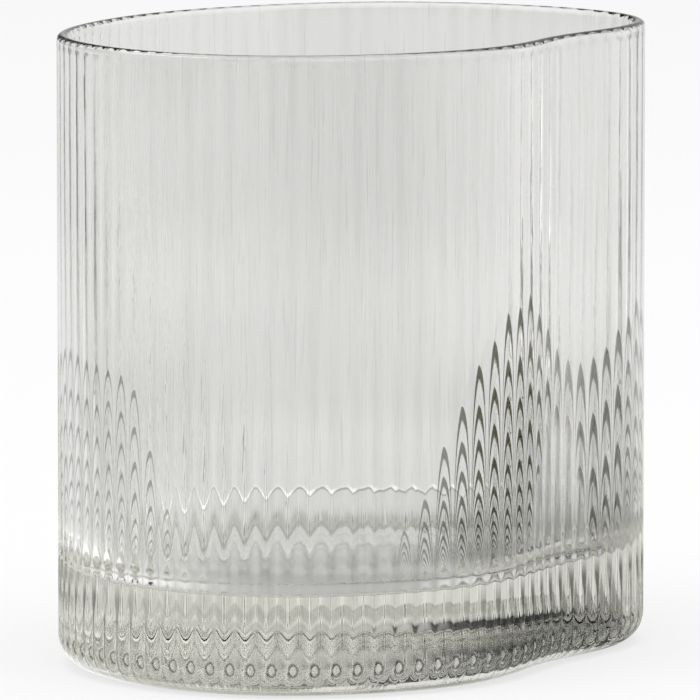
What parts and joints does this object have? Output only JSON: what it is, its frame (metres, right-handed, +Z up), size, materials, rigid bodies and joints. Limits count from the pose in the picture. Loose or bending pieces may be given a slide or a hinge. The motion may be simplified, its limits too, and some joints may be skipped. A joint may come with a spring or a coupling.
{
  "type": "tea glass",
  "caption": "Tea glass of one moulded piece: freely curved plan with a dent, upright reeds outside, smooth inside, thick solid base and rounded rim.",
  "frame": {"origin": "middle of the bounding box on the underside, which stands on the table", "axes": "+Z up along the walls, +X to the right across the front, -Y towards someone who looks at the front"},
  "size_m": [0.084, 0.0874, 0.09],
  "materials": {
    "clear_glass": "fire polished, clear with a faint grey-green tint"
  },
  "bodies": {
    "root": {"glass_body": "clear_glass"}
  },
  "joints": []
}
